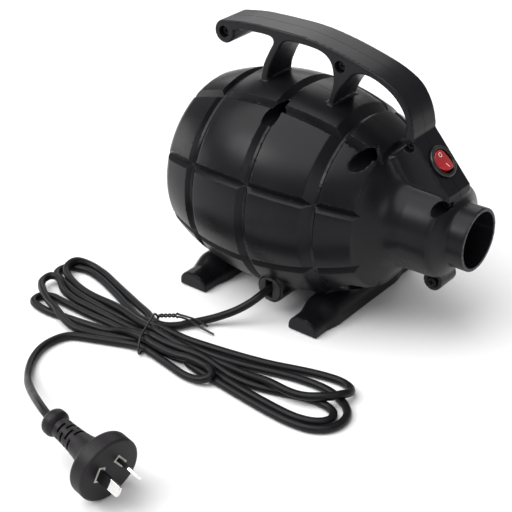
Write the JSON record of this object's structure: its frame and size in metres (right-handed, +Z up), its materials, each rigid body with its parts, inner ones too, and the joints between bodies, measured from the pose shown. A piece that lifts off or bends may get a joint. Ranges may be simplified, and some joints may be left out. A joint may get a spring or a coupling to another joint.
{
  "type": "portable air blower",
  "caption": "Barrel-shaped mains air blower with a strap handle, a round rocker switch on a sloped panel, a short round nozzle, crosswise feet and a tied mains cord.",
  "frame": {"origin": "on the surface it stands on, below the middle of the blower's body", "axes": "+X towards the nozzle, along the blower's axis; +Y across the body, away from the side with the cord bush; +Z up"},
  "size_m": [0.2951, 0.373, 0.1976],
  "materials": {
    "shell_black": "moulded black shell, semi-gloss",
    "rubber_black": "soft matt rubber",
    "cord_black": "smooth flexible PVC, slightly shiny",
    "tie_black": "plastic-covered twist wire",
    "nylon_dark": "dark moulded nylon",
    "nylon_light": "natural moulded nylon",
    "rocker_red": "red gloss, white O and I marks in the visual model",
    "foam_dark": "open-cell foam",
    "steel": "plain or zinc-plated steel",
    "plated": "bright nickel plate",
    "brass": "bare brass",
    "copper": "enamelled copper",
    "carbon": "pressed carbon"
  },
  "bodies": {
    "blower": {"housing_left": "shell_black", "housing_right": "shell_black", "foot_pad_front_left": "rubber_black", "foot_pad_front_right": "rubber_black", "foot_pad_rear_left": "rubber_black", "foot_pad_rear_right": "rubber_black", "motor_mount_front": "rubber_black", "motor_mount_rear": "rubber_black", "cord_bush": "rubber_black", "cord_lead": "cord_black", "cord_hank": "cord_black", "cord_tail": "cord_black", "plug_body": "cord_black", "cord_tie": "tie_black", "inlet_grille": "nylon_dark", "outlet_guard": "nylon_dark", "switch_body": "nylon_dark", "diffuser_plate": "nylon_dark", "cord_clamp": "nylon_dark", "inlet_filter": "foam_dark", "screw_handle_tail": "steel", "screw_handle_middle": "steel", "screw_leg_base": "steel", "screw_barrel_top_rear": "steel", "screw_barrel_top_front": "steel", "screw_neck_upper": "steel", "screw_neck_lower": "steel", "screw_base_front": "steel", "screw_base_rear": "steel", "stator_core": "steel", "motor_frame_rear": "steel", "motor_frame_front": "steel", "fan_casing": "steel", "brush_spring_upper": "steel", "brush_spring_lower": "steel", "cord_clamp_screw": "steel", "bearing_front": "plated", "bearing_rear": "plated", "plug_pin_active": "plated", "plug_pin_neutral": "plated", "switch_terminal_line": "brass", "switch_terminal_load": "brass", "brush_holder_upper": "brass", "brush_holder_lower": "brass", "field_coil_upper": "copper", "field_coil_lower": "copper"},
    "rotor": {"motor_shaft": "steel", "armature_core": "steel", "armature_winding": "copper", "commutator": "copper", "impeller_first": "nylon_light", "impeller_second": "nylon_light", "impeller_spacer": "steel", "impeller_nut": "plated"},
    "rocker": {"switch_rocker": "rocker_red"},
    "brush_upper": {"carbon_brush_upper": "carbon"},
    "brush_lower": {"carbon_brush_lower": "carbon"}
  },
  "joints": [
    {"name": "rotor_spin", "type": "hinge", "parent": "blower", "child": "rotor", "pos_m": [0, 0, 0.082], "axis": [1, 0, 0], "continuous": true},
    {"name": "rocker_throw", "type": "hinge", "parent": "blower", "child": "rocker", "pos_m": [0.07912, 0, 0.12926], "axis": [0, 1, 0], "range_deg": [0, 16]},
    {"name": "brush_upper_slide", "type": "slide", "parent": "blower", "child": "brush_upper", "axis": [0, 0, 1], "range_m": [0, 0.0025], "stiffness_N_per_m": 300, "springref_m": -0.004, "deforming": ["brush_spring_upper"]},
    {"name": "brush_lower_slide", "type": "slide", "parent": "blower", "child": "brush_lower", "axis": [0, 0, -1], "range_m": [0, 0.0025], "stiffness_N_per_m": 300, "springref_m": -0.004, "deforming": ["brush_spring_lower"]}
  ]
}
